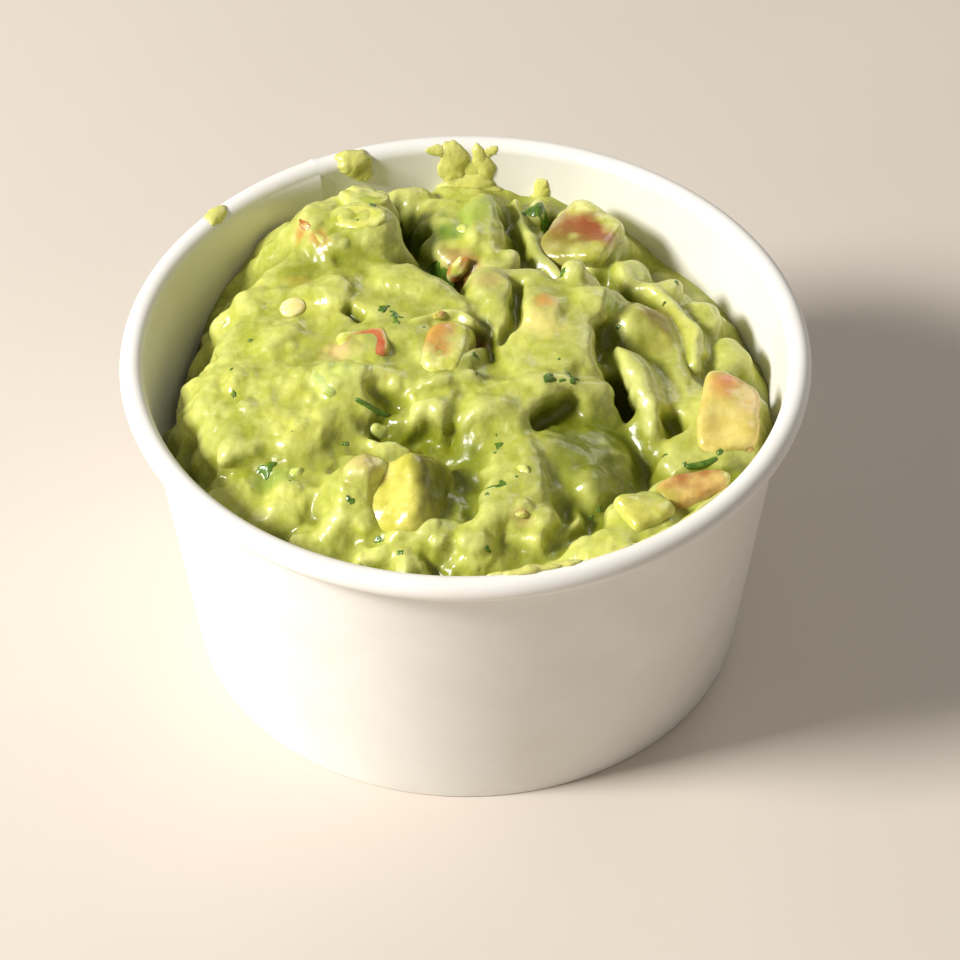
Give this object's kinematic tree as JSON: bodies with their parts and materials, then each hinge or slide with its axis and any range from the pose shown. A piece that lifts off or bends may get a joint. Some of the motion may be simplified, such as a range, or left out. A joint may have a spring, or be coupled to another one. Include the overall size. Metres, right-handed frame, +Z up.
{
  "type": "guacamole in a paper cup",
  "caption": "Squat white paper cup with a rolled rim, heaped with chunky guacamole that holds pieces of tomato, avocado and green chilli pepper.",
  "frame": {"origin": "centre of the cup's foot, on the surface it stands on", "axes": "+Z up, -Y towards the front, from where the heap's high side is on the left"},
  "size_m": [0.098, 0.098, 0.0545],
  "materials": {
    "paper": "white coated paperboard, slightly satin",
    "avocado_paste": "moist yellow-green avocado paste",
    "avocado": "moist pale avocado flesh",
    "avocado_browned": "moist avocado flesh, browned by the air",
    "tomato": "moist tomato flesh",
    "tomato_pale": "moist pale tomato flesh under a film of paste",
    "tomato_coated": "tomato flesh coated with paste",
    "pepper": "moist green chilli pepper"
  },
  "bodies": {
    "root": {"cup_wall": "paper", "cup_base": "paper", "guacamole": "avocado_paste", "tomato_right": "tomato_pale", "tomato_back": "tomato", "tomato_centre": "tomato_coated", "tomato_left": "tomato", "avocado_cube": "avocado", "avocado_right": "avocado", "avocado_slice": "avocado_browned", "avocado_pile": "avocado", "pepper_pile": "pepper", "pepper_left": "pepper"}
  },
  "joints": []
}
